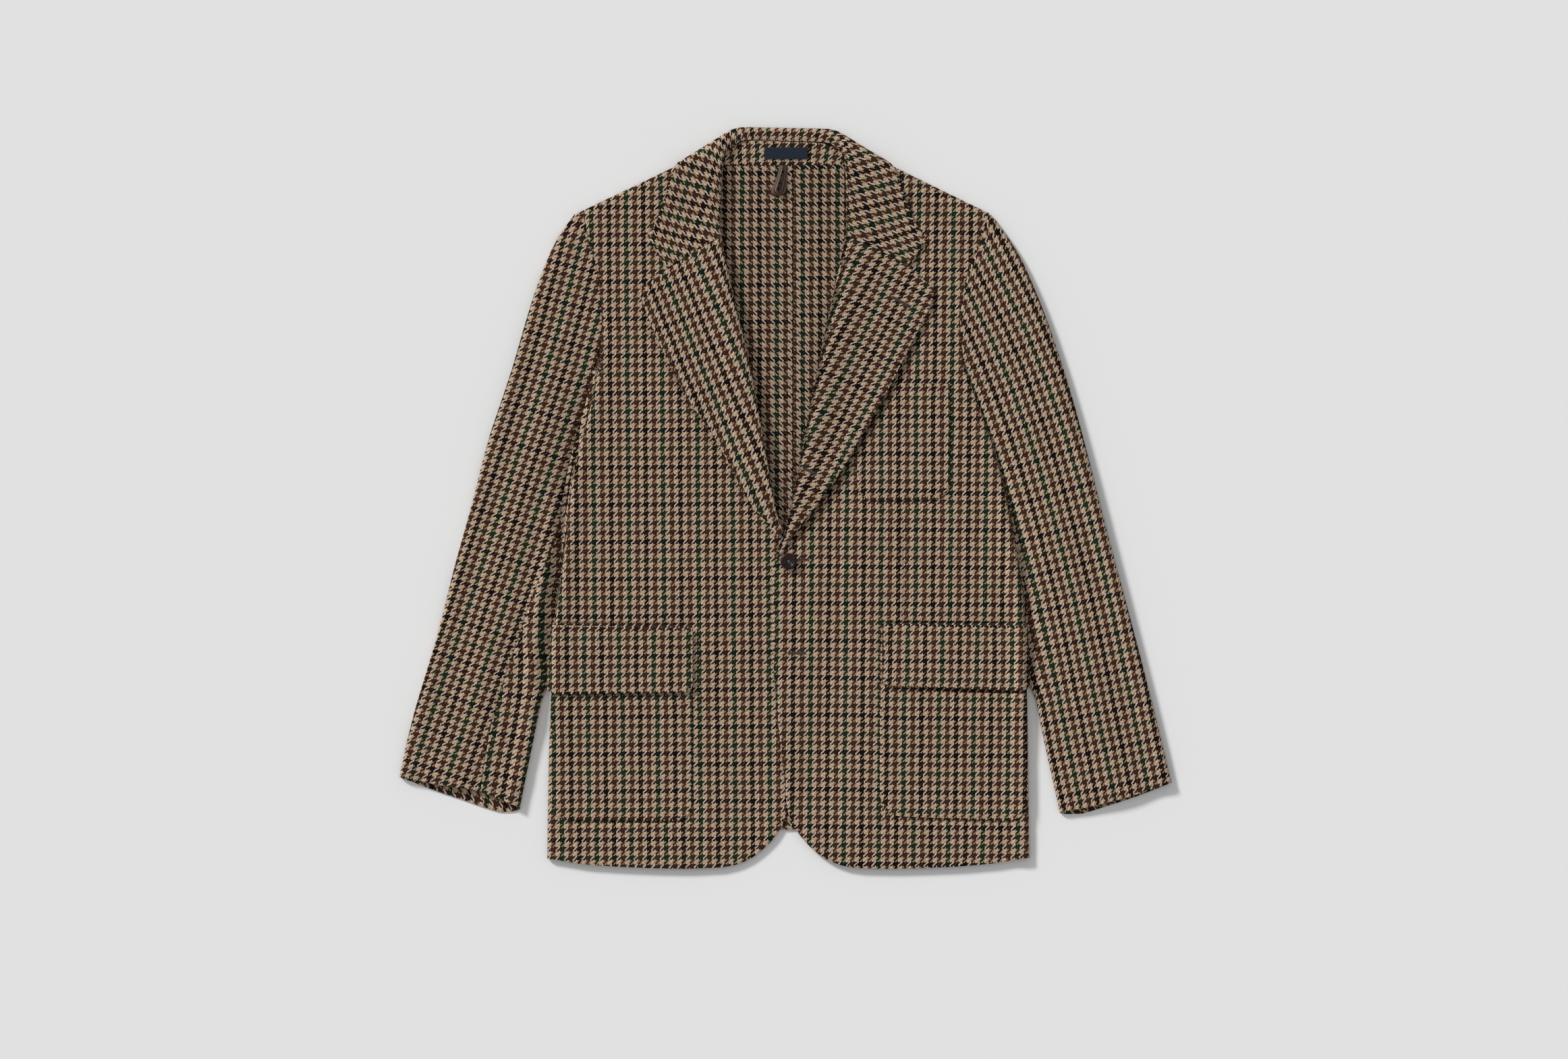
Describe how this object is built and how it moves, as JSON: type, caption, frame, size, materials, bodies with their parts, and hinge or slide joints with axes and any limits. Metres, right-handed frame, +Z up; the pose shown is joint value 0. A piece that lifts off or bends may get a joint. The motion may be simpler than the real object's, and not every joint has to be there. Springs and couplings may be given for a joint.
{
  "type": "tweed jacket laid flat",
  "caption": "Soft unlined notch-lapel tweed jacket lying flat, buttoned once, with chest patch pocket and flapped hip patch pockets.",
  "frame": {"origin": "on the surface the jacket lies on, below the middle of its whole outline", "axes": "+X to the right as seen from above (the wearer's left), +Y towards the collar, +Z up from the back to the fronts"},
  "size_m": [0.8519, 0.8185, 0.0146],
  "materials": {
    "tweed": "matte napped wool",
    "navy_label": "matte woven",
    "brown_ribbon": "satin",
    "dark_horn": "semi-gloss"
  },
  "bodies": {
    "root": {"back_left": "tweed", "back_right": "tweed", "front_left": "tweed", "front_right": "tweed", "lapel_left": "tweed", "lapel_right": "tweed", "collar_fall": "tweed", "collar_stand": "tweed", "sleeve_left_top": "tweed", "sleeve_left_under": "tweed", "sleeve_right_top": "tweed", "sleeve_right_under": "tweed", "chest_pocket": "tweed", "hip_pocket_left": "tweed", "hip_pocket_right": "tweed", "hip_flap_left": "tweed", "hip_flap_right": "tweed", "neck_label": "navy_label", "hanger_loop": "brown_ribbon", "front_button": "dark_horn"}
  },
  "joints": []
}
